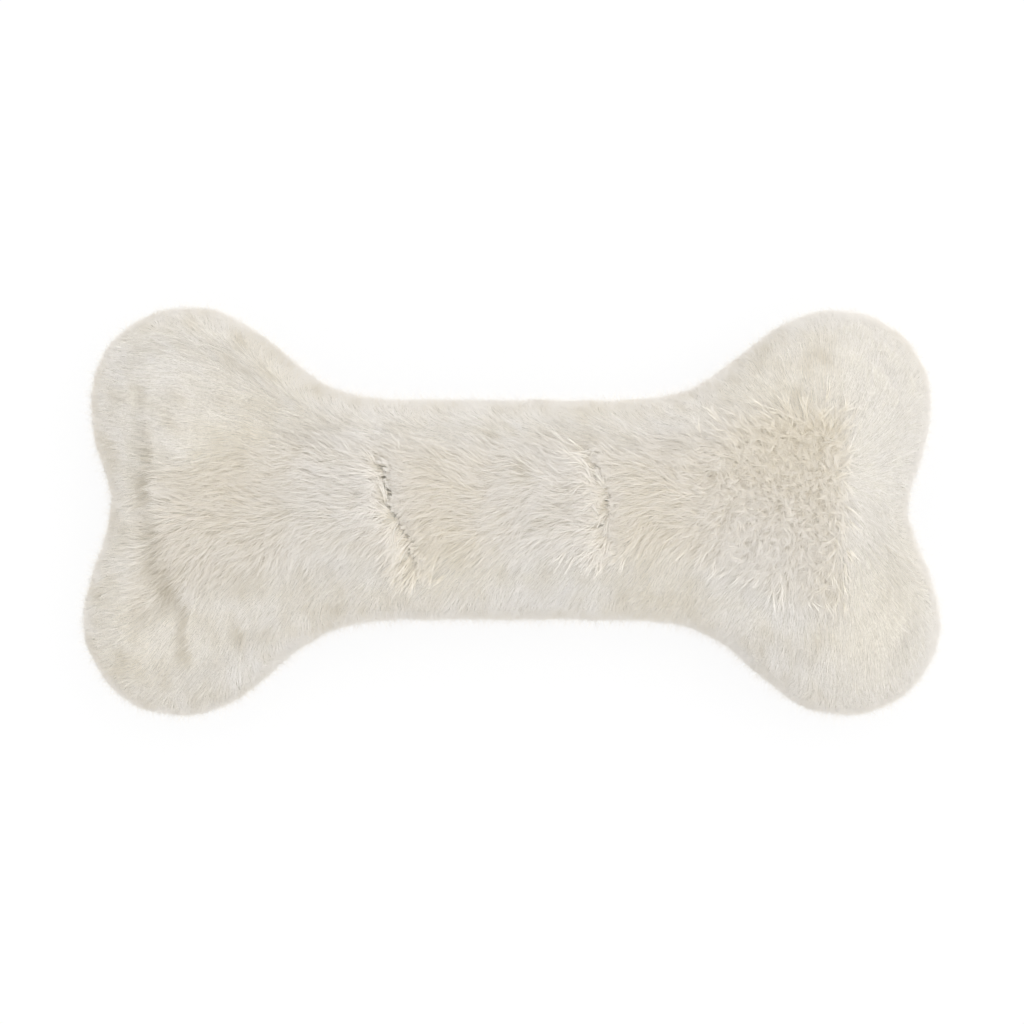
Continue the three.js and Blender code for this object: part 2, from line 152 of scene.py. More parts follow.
# Node maths written as plain expressions
class Value:
    def __init__(self, tree, socket=None):
        self.tree = tree
        self.socket = socket

    def node(self, kind, settings, inputs, output=0):
        made = self.tree.nodes.new(kind)
        for name, setting in settings.items():
            if name == "stops":
                self.set_stops(made.color_ramp, setting)
            else:
                setattr(made, name, setting)
        for name, value in inputs.items():
            self.feed(made.inputs[name], value)
        return Value(self.tree, made.outputs[output])

    def set_stops(self, ramp, stops):
        while len(ramp.elements) < len(stops):
            ramp.elements.new(0.5)
        for element, (place, colour) in zip(ramp.elements, stops):
            element.position = place
            element.color = (*colour, 1)

    def feed(self, socket, value):
        if isinstance(value, Value):
            self.tree.links.new(value.socket, socket)
        else:
            socket.default_value = value

    def maths(self, operation, first, second):
        return self.node("ShaderNodeMath", {"operation": operation}, {0: first, 1: second})

    def __add__(self, other):
        return self.maths("ADD", self, other)

    def __mul__(self, other):
        return self.maths("MULTIPLY", self, other)


def linear(red, green, blue):
    shares = np.array([red, green, blue]) / 255
    return tuple(np.where(shares < 0.04045, shares / 12.92, ((shares + 0.055) / 1.055) ** 2.4))


def start_material(name, roughness, specular):
    material = bpy.data.materials.new(name)
    material.use_nodes = True
    shader = material.node_tree.nodes["Principled BSDF"]
    shader.inputs["Roughness"].default_value = roughness
    shader.inputs["Specular IOR Level"].default_value = specular
    return material, Value(material.node_tree), shader


def grain(start, scale, detail=3.0):
    place = start.node("ShaderNodeTexCoord", {}, {}, "Object")
    return start.node("ShaderNodeTexNoise", {}, {"Vector": place, "Scale": scale, "Detail": detail}, 0)


def ramp(start, stops, share):
    return start.node("ShaderNodeValToRGB", {"stops": stops}, {"Fac": share})


# Each hair's tone runs across the map, and its root to its tip runs up it
def fur_material(name, tones, roots):
    material, start, shader = start_material(name, 0.75, 0.2)
    shader.inputs["Sheen Weight"].default_value = 0.25
    shader.inputs["Sheen Roughness"].default_value = 0.5
    place = start.node("ShaderNodeUVMap", {"uv_map": "OFBake"}, {}, "UV")
    across = start.node("ShaderNodeSeparateXYZ", {}, {"Vector": place}, "X")
    along = start.node("ShaderNodeSeparateXYZ", {}, {"Vector": place}, "Y")
    tone = ramp(start, tones, across)
    depth = ramp(start, roots, along)
    colour = start.node("ShaderNodeMixRGB", {"blend_type": "MULTIPLY"}, {0: 1.0, 1: tone, 2: depth})
    start.feed(shader.inputs["Base Color"], colour)
    return material


# Grainy material: colour between two ends, with its roughness and a bump from the same noise
def grainy_material(name, dark, light, scale, roughness, specular, bump, bump_scale):
    material, start, shader = start_material(name, roughness, specular)
    blotch = grain(start, scale)
    start.feed(shader.inputs["Base Color"], ramp(start, [(0.3, dark), (0.7, light)], blotch))
    start.feed(shader.inputs["Roughness"], blotch * 0.16 + (roughness - 0.08))
    height = grain(start, bump_scale, 5.0)
    raised = start.node("ShaderNodeBump", {}, {"Strength": bump, "Distance": 0.3 * MM, "Height": height})
    start.feed(shader.inputs["Normal"], raised)
    return material


# Camera straight above the toy
bpy.ops.object.camera_add(location=(0, 0, SEAM_HEIGHT + PHOTO_SPAN / SENSOR * LENS), rotation=(0, 0, 0))
camera = bpy.context.object
camera.name = "photo_camera"
camera.data.lens = LENS
camera.data.sensor_width = SENSOR
scene.camera = camera


def seen_directly(start):
    return (start.node("ShaderNodeLightPath", {}, {}, "Is Camera Ray")
            + start.node("ShaderNodeLightPath", {}, {}, "Is Glossy Ray")
            + start.node("ShaderNodeLightPath", {}, {}, "Is Transmission Ray"))


# White surroundings, one large soft lamp from above and a little from the upper right, and a white floor
scene.view_settings.view_transform = "Standard"
world = bpy.data.worlds.new("white_studio")
scene.world = world
world.use_nodes = True
start = Value(world.node_tree)
background = world.node_tree.nodes["Background"]
background.inputs["Color"].default_value = (1, 1, 1, 1)
start.feed(background.inputs["Strength"], seen_directly(start) * (1 - AMBIENT) + AMBIENT)

bpy.ops.object.light_add(type="AREA", location=LAMP_PLACE)
lamp = bpy.context.object
lamp.name = "soft_lamp"
lamp.data.shape = "SQUARE"
lamp.data.size = LAMP_SIZE
lamp.data.energy = LAMP_POWER
lamp.rotation_euler = (-Vector(LAMP_PLACE)).to_track_quat("-Z", "Y").to_euler()

bpy.ops.mesh.primitive_plane_add(size=8)
floor = bpy.context.object
floor.name = "studio_floor"
material, start, shader = start_material("studio_floor", 0.9, 0.2)
shader.inputs["Base Color"].default_value = (0.93, 0.93, 0.93, 1)
glow = start.node("ShaderNodeEmission", {}, {"Color": (1, 1, 1, 1), "Strength": 1.0})
mixed = start.node(
    "ShaderNodeMixShader", {},
    {0: seen_directly(start) * FLOOR_GLOW, 1: Value(start.tree, shader.outputs[0]), 2: glow})
start.feed(material.node_tree.nodes["Material Output"].inputs["Surface"], mixed)
floor.data.materials.append(material)


# Hand tools
def coordinates(mesh):
    points = np.empty(len(mesh.vertices) * 3)
    mesh.vertices.foreach_get("co", points)
    return points.reshape(-1, 3)


def place_vertices(mesh, points):
    mesh.vertices.foreach_set("co", points.astype(np.float32).ravel())
    mesh.update()


def vertex_normals(mesh):
    normals = np.empty(len(mesh.vertices) * 3, np.float32)
    mesh.vertices.foreach_get("normal", normals)
    return normals.reshape(-1, 3).astype(float)


def pick(*objects):
    bpy.ops.object.select_all(action="DESELECT")
    for obj in objects:
        obj.select_set(True)
    bpy.context.view_layer.objects.active = objects[0]


def edit_all():
    bpy.ops.object.mode_set(mode="EDIT")
    bpy.ops.mesh.select_all(action="SELECT")


def finish_with(obj, kind, **settings):
    pick(obj)
    bpy.ops.object.modifier_add(type=kind)
    modifier = obj.modifiers[-1]
    for name, setting in settings.items():
        setattr(modifier, name, setting)
    bpy.ops.object.modifier_apply(modifier=modifier.name)


def copy_nodes(names, label):
    copies = []
    for name in names:
        copy = nodes[name].copy()
        copy.data = nodes[name].data.copy()
        copy.parent = None
        for key in list(copy.keys()):
            del copy[key]
        scene.collection.objects.link(copy)
        copies.append(copy)
    pick(*copies)
    if len(copies) > 1:
        bpy.ops.object.join()
    joined = bpy.context.view_layer.objects.active
    joined.name = label
    joined.data.name = label
    joined.data.materials.clear()
    edit_all()
    bpy.ops.mesh.remove_doubles(threshold=1e-5)
    bpy.ops.object.mode_set(mode="OBJECT")
    return joined


def remesh(obj, voxel):
    pick(obj)
    obj.data.remesh_voxel_size = voxel
    bpy.ops.object.voxel_remesh()


def keep_outer_shell(obj):
    pick(obj)
    edit_all()
    bpy.ops.mesh.separate(type="LOOSE")
    bpy.ops.object.mode_set(mode="OBJECT")
    shells = sorted(bpy.context.selected_objects, key=lambda shell: max(shell.dimensions), reverse=True)
    for shell in shells[1:]:
        bpy.data.objects.remove(shell)
    pick(shells[0])
    return shells[0]


# A motion shared out between neighbouring points, so that the swelling leaves no creases of its own
def evened(mesh, moved, rounds):
    edges = np.empty(len(mesh.edges) * 2, np.int32)
    mesh.edges.foreach_get("vertices", edges)
    first, second = edges.reshape(-1, 2).T
    shares = np.bincount(edges, minlength=len(moved))[:, None]
    for _ in range(rounds):
        total = np.zeros_like(moved)
        np.add.at(total, first, moved[second])
        np.add.at(total, second, moved[first])
        moved = (moved + total / shares) / 2
    return moved


def swell(obj, cap, side_cap, frames):
    pick(obj)
    before = coordinates(obj.data)
    bpy.ops.object.modifier_add(type="CLOTH")
    cloth = obj.modifiers[-1]
    cloth.settings.use_pressure = True
    cloth.settings.uniform_pressure_force = PRESSURE
    cloth.settings.effector_weights.gravity = 0
    for step in range(1, frames + 1):
        scene.frame_set(step)
    bpy.ops.object.modifier_apply(modifier=cloth.name)
    scene.frame_set(1)
    moved = coordinates(obj.data) - before
    aside = np.linalg.norm(moved[:, :2], axis=1, keepdims=True)
    moved[:, :2] *= np.minimum(1, side_cap / np.maximum(aside, 1e-9))
    moved[:, 2] = np.clip(moved[:, 2], -cap, cap)
    place_vertices(obj.data, before + evened(obj.data, moved, EVENING_ROUNDS))


def smoothstep(low, high, value):
    share = np.clip((value - low) / (high - low), 0, 1)
    return share * share * (3 - 2 * share)


def unit(vectors):
    return vectors / np.maximum(np.linalg.norm(vectors, axis=-1, keepdims=True), 1e-9)


# 0 where the surface faces up or down, 1 where it is upright
def steepness(normals):
    return np.linalg.norm(normals[:, :2], axis=1)


def near_rim(normals):
    return smoothstep(0.72, 0.97, steepness(normals))


# Slow drift over a surface, about -1 to 1, with swells of about this many millimetres
def drift(points, size, seed):
    dice = np.random.default_rng(seed)
    total = np.zeros(points.shape[:-1])
    for _ in range(6):
        turn = dice.random() * math.tau
        push = np.array([math.cos(turn), math.sin(turn), dice.normal() * 0.5])
        wave = size * (0.7 + 0.6 * dice.random())
        total += np.sin(points @ push * math.tau / wave + dice.random() * math.tau)
    return total / 1.7


# How far each point lies to the right of a line down the front, and how much of the line is left there
def past_line(points, line):
    xs, ys = np.array(line[::-1]).T
    fade = smoothstep(ys[0] - 3, ys[0] + 5, points[:, 1]) * smoothstep(ys[-1] + 3, ys[-1] - 5, points[:, 1])
    return points[:, 0] - np.interp(points[:, 1], ys, xs), fade


def in_fold(points, middle, width):
    gap, fade = past_line(points, FOLD)
    return fade * np.exp(-((gap - middle + 0.8 * drift(points, 15, 22)) / width) ** 2)


# How near each point lies to a spot of painted parting shade
def in_parting_shade(points):
    return np.exp(-(np.linalg.norm(points[:, None, :2] - PARTING_SHADE_SPOTS, axis=2).min(1) / 1.9) ** 2)


# How far each point lies before the nearest break in the pile, against the nap, and how open that break is
def before_break(points):
    ahead = np.full(len(points), 99.0)
    opened = np.zeros(len(points))
    jag = 0.6 * drift(points * np.array([0, 1, 0]), 6, 21)
    for line, power in BREAKS:
        gap, fade = past_line(points, line)
        gap = gap - jag
        better = (np.abs(gap) < 16) & (power * fade > opened)
        ahead[better] = gap[better]
        opened[better] = (power * fade)[better]
    return ahead, opened


# How bristly, smooth and calm the pile is at each place on the front
def moods(points, normals):
    x, y = points[:, 0], points[:, 1]
    far = np.linalg.norm(points[:, :2] - WHORL, axis=1)
    smooth = smoothstep(106, 115, x)
    above = y - np.interp(x, RUFFLE_PLACES, RUFFLE_TOP)
    below = np.interp(x, RUFFLE_PLACES, RUFFLE_FOOT) - y
    ruffled = smoothstep(6, -8, np.maximum(above, below)) * smoothstep(-130, -124, x)
    calm = np.max([smoothstep(0.35, 0.68, steepness(normals)), smooth, 1 - ruffled], axis=0)
    return smoothstep(58, 12, far) * (1 - calm), smooth, calm


def surface_tree(obj):
    return BVHTree.FromPolygons(
        coordinates(obj.data).tolist(), [tuple(polygon.vertices) for polygon in obj.data.polygons])


# The plush lies under the solids' outside by the depth of the hairs, more where they are ruffled
def fit_under(obj, outside):
    points = coordinates(obj.data)
    normals = vertex_normals(obj.data)
    ruffled = (1 - moods(points / MM, normals)[2]) * (normals[:, 2] > 0)
    depth = PILE_DEPTH + RUFFLE_DEPTH * ruffled
    depth = (depth + (RIM_DEPTH - depth) * smoothstep(0.6, 0.95, steepness(normals))) * MM
    found = np.array([outside.find_nearest(point)[0] for point in points.tolist()])
    under = ((found - points) * normals).sum(1)
    raised = under - np.clip(under, depth - FIT_SLACK * MM, depth + FIT_SLACK * MM)
    place_vertices(obj.data, points + evened(obj.data, normals * raised[:, None], FIT_ROUNDS))


# The plush: both panels' outside, tucked in by the length of the hairs, then swollen by its stuffing
skin = copy_nodes(["front_fur_panel", "back_fur_panel"], "plush")
solid_tree = surface_tree(skin)
remesh(skin, VOXEL)
skin = keep_outer_shell(skin)
finish_with(skin, "SMOOTH", iterations=SKIN_SMOOTHING)
points = coordinates(skin.data)
normals = vertex_normals(skin.data)
place_vertices(skin.data, points - normals * TUCK * normals[:, 2:] ** 2)
swell(skin, SWELL_CAP, SIDE_CAP, SWELL_FRAMES)
for _ in range(2):
    fit_under(skin, solid_tree)
finish_with(skin, "SUBSURF", levels=1, render_levels=1)
points = coordinates(skin.data) / MM
lumps = 0.12 * drift(points, 24, 41) + 0.1 * drift(points, 14, 42)
lumps -= FOLD_DIP * in_fold(points, 1, 3.2) * (points[:, 2] > SEAM_HEIGHT / MM)
place_vertices(skin.data, (points + vertex_normals(skin.data) * lumps[:, None]) * MM)
bpy.ops.object.shade_smooth()
skin_tree = surface_tree(skin)


# Roots spread evenly over a skin, more where crowd says so
def scatter(obj, count, crowd):
    mesh = obj.data
    mesh.calc_loop_triangles()
    triangles = np.empty(len(mesh.loop_triangles) * 3, np.int32)
    mesh.loop_triangles.foreach_get("vertices", triangles)
    triangles = triangles.reshape(-1, 3)
    points = coordinates(mesh) / MM
    normals = vertex_normals(mesh)
    corners = points[triangles]
    crossed = np.cross(corners[:, 1] - corners[:, 0], corners[:, 2] - corners[:, 0])
    crowding = np.linalg.norm(crossed, axis=1) * crowd(corners.mean(1), unit(normals[triangles].mean(1)))
    ends = np.cumsum(crowding)
    picks = np.searchsorted(ends, (np.arange(count) + rng.random(count)) / count * ends[-1])
    picks = triangles[np.minimum(picks, len(triangles) - 1)]
    first = np.sqrt(rng.random(count))
    second = rng.random(count)
    shares = np.stack([1 - first, first * (1 - second), first * second], axis=1)[:, :, None]
    return (points[picks] * shares).sum(1), unit((normals[picks] * shares).sum(1))


# Closed three-sided hairs that taper to their tips, one mesh for each band
def hair_mesh(label, path, radii, tone, facing, roundness, root_shade, tip_shade, material):
    hairs, points, _ = path.shape
    rings = points - 1
    heading = unit(np.gradient(path, axis=1))
    side = unit(np.cross(heading, facing[:, None, :]))
    under = np.cross(heading, side)
    spin = rng.normal(-math.pi / 6, 0.25, hairs)
    corners = []
    leans = []
    for ring in range(rings):
        for corner in range(3):
            turn = spin + corner * math.tau / 3
            offset = np.cos(turn)[:, None] * side[:, ring] + np.sin(turn)[:, None] * under[:, ring]
            corners.append(path[:, ring] + offset * radii[:, ring, None])
            leans.append(unit(facing * (1 - roundness[:, None]) + offset * roundness[:, None]))
    corners.append(path[:, rings])
    leans.append(facing)
    local = [(0, 2, 1)]
    for low in range(0, rings * 3 - 3, 3):
        for corner in range(3):
            after = (corner + 1) % 3
            local.append((low + corner, low + after, low + 3 + after))
            local.append((low + corner, low + 3 + after, low + 3 + corner))
    low = rings * 3 - 3
    for corner in range(3):
        local.append((low + corner, low + (corner + 1) % 3, rings * 3))
    count = rings * 3 + 1
    faces = (np.arange(hairs)[:, None, None] * count + np.array(local)[None]).reshape(-1)
    across = tone[:, None] + np.array([-0.02, 0.0, 0.02] * rings + [0.0])
    steps = np.append(np.repeat(np.arange(rings) / rings, 3), 1.0)
    along = root_shade[:, None] + (tip_shade - root_shade)[:, None] * steps
    chart = np.stack([np.clip(across, 0, 1), along], axis=-1).reshape(-1, 2)
    mesh = bpy.data.meshes.new(label)
    total = len(faces) // 3
    mesh.vertices.add(hairs * count)
    mesh.vertices.foreach_set("co", (np.stack(corners, axis=1) * MM).astype(np.float32).ravel())
    mesh.loops.add(len(faces))
    mesh.loops.foreach_set("vertex_index", faces.astype(np.int32))
    mesh.polygons.add(total)
    mesh.polygons.foreach_set("loop_start", np.arange(total, dtype=np.int32) * 3)
    mesh.polygons.foreach_set("use_smooth", np.ones(total, bool))
    layer = mesh.uv_layers.new(name="OFBake")
    layer.data.foreach_set("uv", chart[faces].astype(np.float32).ravel())
    mesh.update(calc_edges=True)
    mesh.normals_split_custom_set_from_vertices(np.stack(leans, axis=1).reshape(-1, 3).astype(np.float32))
    obj = bpy.data.objects.new(label, mesh)
    scene.collection.objects.link(obj)
    mesh.materials.append(material)
    return obj


def in_bands(labels, places, hairs, material):
    hairs[0][..., 2] = np.maximum(hairs[0][..., 2], LOWEST_HAIR)
    order = np.argsort(places, kind="stable")
    made = []
    for label, part in zip(labels, np.array_split(order, len(labels))):
        made.append(hair_mesh(label, *[value[part] for value in hairs], material))
    return made


# Along and across the nap on the skin, turned by a small angle
def laid(flow, normals, turn):
    turned = np.stack([
        flow[:, 0] * np.cos(turn) - flow[:, 1] * np.sin(turn),
        flow[:, 0] * np.sin(turn) + flow[:, 1] * np.cos(turn),
        np.zeros(len(flow))], axis=1)
    along = unit(turned - (turned * normals).sum(1, keepdims=True) * normals)
    return along, np.cross(normals, along)


# Points brought to these heights over the skin
def over_skin(points, heights):
    placed = []
    for point, height in zip((points * MM).tolist(), (heights * MM).tolist()):
        spot, upright, _, _ = skin_tree.find_nearest(point)
        placed.append(spot + upright * height)
    return np.array(placed) / MM


# Headings on the skin, swung from along the nap towards across it
def swung(along, across, swing):
    return np.cos(swing)[..., None] * along[:, None] + np.sin(swing)[..., None] * across[:, None]


# Where the hairs of each clump stand about its middle
def clump_offsets(along, across, reach, size):
    spread = reach * np.sqrt(rng.random(size))
    around = rng.random(size) * math.tau
    return ((spread * np.cos(around))[..., None] * along[:, None]
            + (spread * np.sin(around))[..., None] * across[:, None])


# Single straight hairs
def lone_hairs(
        roots, normals, facing, flow, tilt, length, width, tone, turn, roundness, root_shade, tip_shade):
    along, _ = laid(flow, normals, turn)
    tips = over_skin(roots + along * (np.cos(tilt) * length)[:, None], np.sin(tilt) * length)
    path = np.stack([roots - normals * LONE_DEPTH, tips], axis=1)
    tone = np.clip(tone + rng.normal(0, 0.08, len(roots)), 0.03, 0.97)
    return path, width[:, None], tone, facing, roundness, root_shade, tip_shade


# Several straight hairs whose tips lean together
def tuft_hairs(
        centres, normals, facing, flow, tilt, length, reach, gather, width, tone, turn, roundness,
        root_shade, tip_shade):
    size = (len(centres), TUFT_HAIRS)
    along, across = laid(flow, normals, turn)
    offset = clump_offsets(along, across, reach[:, None], size)
    long = length[:, None] * rng.uniform(0.75, 1.12, size)
    swing = rng.normal(0, 0.1, size)
    rise = tilt[:, None] + rng.normal(0, 0.07, size)
    flat = swung(along, across, swing)
    root = centres[:, None] + offset
    tip = root - offset * gather[:, None, None] + flat * (np.cos(rise) * long)[..., None]
    tip = over_skin(tip.reshape(-1, 3), (np.sin(rise) * long).reshape(-1))
    path = np.stack([(root - normals[:, None] * ROOT_DEPTH).reshape(-1, 3), tip], axis=1)
    thick = (width[:, None] * rng.uniform(0.75, 1.2, size)).reshape(-1, 1)
    tone = np.clip(tone[:, None] + rng.normal(0, 0.1, size), 0.03, 0.97).reshape(-1)
    shared = [np.repeat(value, TUFT_HAIRS, axis=0) for value in (facing, roundness, root_shade, tip_shade)]
    return (path, thick, tone, *shared)


# Several bent hairs that lean together at their tips
def lock_hairs(
        centres, normals, flow, tilt, bend, length, gather, width, tone, turn, roundness, root_shade,
        tip_shade):
    size = (len(centres), LOCK_HAIRS)
    along, across = laid(flow, normals, turn)
    offset = clump_offsets(along, across, LOCK_RADIUS, size)
    half = length[:, None] * rng.uniform(0.8, 1.12, size) / 2
    swing = rng.normal(0, 0.13, size)

    def towards(rise, swing):
        rise = rise[:, None] + rng.normal(0, 0.08, size)
        flat = swung(along, across, swing)
        way = np.cos(rise)[..., None] * flat + np.sin(rise)[..., None] * normals[:, None]
        return way * half[..., None]

    root = centres[:, None] + offset
    lower = towards(tilt, swing)
    upper = towards(bend, swing * 1.8)
    close = gather[:, None, None]
    middle = root - offset * close * 0.55 + lower
    tip = root - offset * close + lower + upper
    path = np.stack([root - normals[:, None] * ROOT_DEPTH, middle, tip], axis=2).reshape(-1, 3, 3)
    thick = (width[:, None] * rng.uniform(0.75, 1.2, size)).reshape(-1)
    tone = np.clip(tone[:, None] + rng.normal(0, 0.1, size), 0.03, 0.97).reshape(-1)
    shared = [np.repeat(value, LOCK_HAIRS, axis=0) for value in (normals, roundness, root_shade, tip_shade)]
    return (path, np.stack([thick, thick * 0.85], axis=1), tone, *shared)


# The front's nap runs away from the whorl, and outwards over the rim
def front_nap(roots, normals):
    reach = roots[:, :2] - WHORL
    far = np.linalg.norm(reach, axis=1, keepdims=True)
    away = unit(reach + 9 * np.exp(-far / 14) * rng.normal(0, 1, reach.shape))
    x, y = roots[:, 0], roots[:, 1]
    down = smoothstep(8, -30, y) * smoothstep(85, 60, x) * smoothstep(-130, -112, x)
    away = unit(away + np.array([0, -1.3]) * down[:, None])
    share = smoothstep(0.6, 0.97, steepness(normals))[:, None]
    return unit(away * (1 - share) + unit(normals[:, :2]) * share)


# The back's nap runs down from the seam to the middle of the underside
def back_nap(normals):
    return -unit(normals[:, :2] + 1e-6)


def front_tone(points, bristle, calm):
    return 0.57 - 0.27 * bristle - 0.07 * calm + 0.1 * drift(points, 60, 5)


def nap_turn(points, bristle, calm, loose):
    slow = np.radians(12) * drift(points, 28, 3) + np.radians(11) * drift(points, 10, 4)
    wild = np.radians(loose + 34 * bristle) * (1 - 0.5 * calm)
    return slow * (1 - 0.6 * calm) + rng.normal(0, 1, len(points)) * wild


# Painted shade: hairs in the fold, at the parting spots, in the painted lumps and in the wide painted shade
# places keep more of their roots' shade, darkened along their whole length
def shaded(points, painted_lump_shade, roots, tips):
    # The fold's shadow, painted on its hairs: a broad soft band and a narrow dark line
    shade = 0.26 * in_fold(points, 3, 3.6) + 0.4 * in_fold(points, 4.6, 1.4)
    # Small dark spots of painted shade where the pile looks parted
    shade += 0.55 * in_parting_shade(points)
    # Soft blotches of painted shade that stand in for soft lumps in the pile
    shade += painted_lump_shade * (drift(points, 18, 51) + 0.8 * drift(points, 7, 52))
    # Wide places of painted shade
    for middle, wide, dark in PAINTED_SHADE_PLACES:
        far = np.linalg.norm(points[:, :2] - np.array(middle), axis=1)
        shade += dark * np.exp(-(far / wide) ** 2)
    return np.clip(roots - shade, 0, 1), np.clip(tips - shade, 0, 1)


# Hairs that would reach over a break end at it, and stand up a little
def stop_at_break(tilt, length, ahead, opened):
    stop = np.maximum(ahead * 0.95 + rng.normal(0, 0.45, len(ahead)), 2.0)
    cut = np.where((ahead > 0) & (stop < length), length + (stop - length) * opened, length)
    ridge = opened * np.exp(-(ahead / 4) ** 2) * (ahead > 0)
    return tilt + np.radians(12) * ridge, cut


def in_gap(ahead, opened):
    return opened * np.exp(-((ahead + 0.6) / 0.9) ** 2)


def on_front(points, normals):
    return (points[:, 2] > FRONT_LOWEST_ROOT) * (1 - in_gap(*before_break(points)))


def on_tufted_front(points, normals):
    bristle, smooth, calm = moods(points, normals)
    return on_front(points, normals) * (1 + 1.4 * bristle - 0.7 * calm - 0.15 * smooth)


def on_locks(points, normals):
    bristle = moods(points, normals)[0]
    ahead, opened = before_break(points)
    at_break = 2 * smoothstep(0.4, 0.8, opened) * np.exp(-(ahead / 5) ** 2)
    return on_front(points, normals) * (bristle + at_break)


def on_rim(points, normals):
    return smoothstep(0.86, 0.99, steepness(normals))


def on_back(points, normals):
    return (points[:, 2] <= BACK_HIGHEST_ROOT) * (1 - 0.6 * smoothstep(-0.8, -0.95, normals[:, 2]))


# Hairs on the steep rim scatter the light from above as well
def leaning_up(normals):
    share = smoothstep(0.6, 0.98, steepness(normals))[:, None]
    return unit(normals + np.array([0, 0, 1.1]) * share)


# The pile's colours from its yellowest to its whitest hairs, and how much of them is left from root to tip:
# darker, yellower roots, partly the undercoat's own colour and partly painted shade deep in the pile
PILE_TONES = [(0.05, linear(248, 240, 223)), (0.5, linear(252, 247, 239)), (0.95, linear(253, 250, 246))]
PILE_DEPTHS = [(0.0, (0.7, 0.665, 0.585)), (0.5, (0.93, 0.915, 0.875)), (1.0, (1.0, 1.0, 1.0))]
pile = fur_material("cream_pile", PILE_TONES, PILE_DEPTHS)

# Fine ground hairs all over the front: an undercoat where it is ruffled, and the whole pile where it is calm
roots, normals = scatter(skin, GROUND_HAIRS, on_front)
bristle, smooth, calm = moods(roots, normals)
count = len(roots)
tilt = np.radians(9 + 8 * bristle - 1 * calm - 1 * smooth + 22 * near_rim(normals))
tilt += rng.normal(0, 0.07 - 0.045 * calm, count)
length = (GROUND_LENGTH - 2.5 * bristle - 1.8 * calm) * rng.uniform(0.7, 1.15, count)
tilt, length = stop_at_break(tilt, length, *before_break(roots))
width = (GROUND_WIDTH - 0.045 * calm - 0.015 * smooth) * rng.uniform(0.8, 1.2, count)
flow = front_nap(roots, normals)
tone = front_tone(roots, bristle, calm)
turn = nap_turn(roots, bristle, calm, 10)
roundness = 0.4 - 0.35 * calm - 0.05 * smooth
# Painted shade along each hair from root to tip, set for each zone
root_shade = 0.76 * calm + 0.24 * smooth
tip_shade = 0.5 - 0.2 * bristle + 0.32 * calm + 0.18 * smooth
shades = shaded(roots, 0.13 * (calm - smooth), root_shade, tip_shade)
hairs = lone_hairs(
    roots, normals, leaning_up(normals), flow, tilt, length, width, tone, turn, roundness, *shades)
front_fur = in_bands(
    ["front_left_ground_fur", "front_mid_left_ground_fur", "front_mid_right_ground_fur",
     "front_right_ground_fur"],
    roots[:, 0], hairs, pile)

# Tufts of guard hairs: narrow and raised where the front is ruffled, broad and lying where it is calm
centres, normals = scatter(skin, FRONT_TUFTS, on_tufted_front)
bristle, smooth, calm = moods(centres, normals)
count = len(centres)
tilt = np.radians(20 - 6 * calm + 16 * bristle) + rng.normal(0, 0.14 - 0.06 * calm, count)
length = (TUFT_LENGTH - 1 * calm - 4.6 * bristle) * rng.uniform(0.75, 1.2, count)
tilt, length = stop_at_break(tilt, length, *before_break(centres))
reach = TUFT_RADIUS * (1 - 0.5 * bristle + 1.6 * calm)
width = TUFT_WIDTH - 0.03 * bristle - 0.04 * calm
flow = front_nap(centres, normals)
tone = front_tone(centres, bristle, calm)
turn = nap_turn(centres, bristle, calm, 14)
roundness = 0.7 - 0.6 * calm - 0.1 * smooth
root_shade = 0.3 - 0.2 * bristle + 0.45 * calm + 0.25 * smooth
tip_shade = 1 - 0.12 * (calm - smooth)
shades = shaded(centres, 0.05 + 0.08 * (calm - smooth), root_shade, tip_shade)
hairs = tuft_hairs(
    centres, normals, leaning_up(normals), flow, tilt, length, reach, 0.9 - 0.4 * calm, width, tone, turn,
    roundness, *shades)
front_fur += in_bands(
    ["front_left_tufts", "front_middle_tufts", "front_right_tufts"],
    np.repeat(centres[:, 0], TUFT_HAIRS), hairs, pile)

# Bent locks at the breaks and round the whorl
centres, normals = scatter(skin, FRONT_LOCKS, on_locks)
bristle, _, calm = moods(centres, normals)
count = len(centres)
even = np.ones(count)
tilt = np.radians(25 + 8 * bristle) + rng.normal(0, 0.12, count)
length = (LOCK_LENGTH - 4.5 * bristle) * rng.uniform(0.85, 1.15, count)
tilt, length = stop_at_break(tilt, length, *before_break(centres))
flow = front_nap(centres, normals)
bend = np.radians(6 + 16 * bristle) + rng.normal(0, 0.12, count)
width = LOCK_WIDTH - 0.02 * bristle
tone = front_tone(centres, bristle, calm)
turn = nap_turn(centres, bristle, calm, 24)
hairs = lock_hairs(
    centres, normals, flow, tilt, bend, length, 0.85 * even, width, tone, turn, 0.6 * even, 0.3 * even, even)
front_fur += in_bands(["front_locks"], np.repeat(centres[:, 0], LOCK_HAIRS), hairs, pile)

# A soft fringe round the rim, where the two panels' piles meet
roots, normals = scatter(skin, FRINGE_HAIRS, on_rim)
count = len(roots)
even = np.ones(count)
facing = unit(normals + np.array([0, 0, 1.5]))
tilt = np.radians(rng.uniform(20, 75, count))
length = FRINGE_LENGTH * rng.uniform(0.3, 1.2, count)
width = FRINGE_WIDTH * np.exp(rng.normal(0, 0.4, count))
turn = rng.normal(0, 0.5, count)
root_shade = rng.uniform(0.55, 1, count)
hairs = lone_hairs(
    roots, normals, facing, unit(normals[:, :2]), tilt, length, width, 0.7 * even, turn, 0 * even,
    root_shade, even)
front_fur += in_bands(["rim_fringe"], roots[:, 0], hairs, pile)

